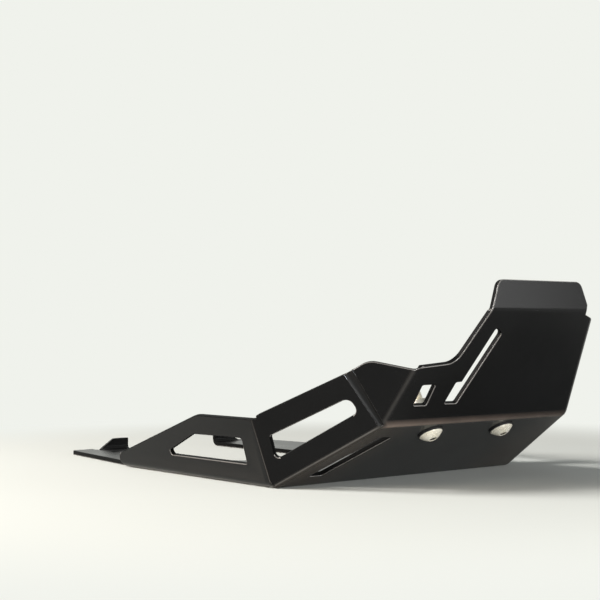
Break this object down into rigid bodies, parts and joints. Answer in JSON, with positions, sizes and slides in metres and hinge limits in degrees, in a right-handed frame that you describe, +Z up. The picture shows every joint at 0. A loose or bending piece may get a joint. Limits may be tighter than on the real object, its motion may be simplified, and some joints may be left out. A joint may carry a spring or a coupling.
{
  "type": "engine guard",
  "caption": "Engine guard for a motorbike: a black powder-coated folded aluminium skid plate with side wings, vents, a turned lip and its front screw fixings",
  "frame": {"origin": "centre of the bounding box, on the underside of the belly panel", "axes": "+X forward along the bike, +Y to the bike's left, +Z up, out of the belly panel towards the engine"},
  "size_m": [0.4842, 0.2948, 0.1529],
  "materials": {
    "powder_coat": "semi-matte black powder coat",
    "zinc_steel": "bright zinc",
    "black_nylon": "matte",
    "black_rubber": "matte"
  },
  "bodies": {
    "root": {"guard_plate": "powder_coat", "front_screw_right": "zinc_steel", "front_screw_left": "zinc_steel", "front_washer_right": "black_nylon", "front_washer_left": "black_nylon", "front_rubber_right": "black_rubber", "front_rubber_left": "black_rubber", "front_sleeve_right": "zinc_steel", "front_sleeve_left": "zinc_steel"}
  },
  "joints": []
}
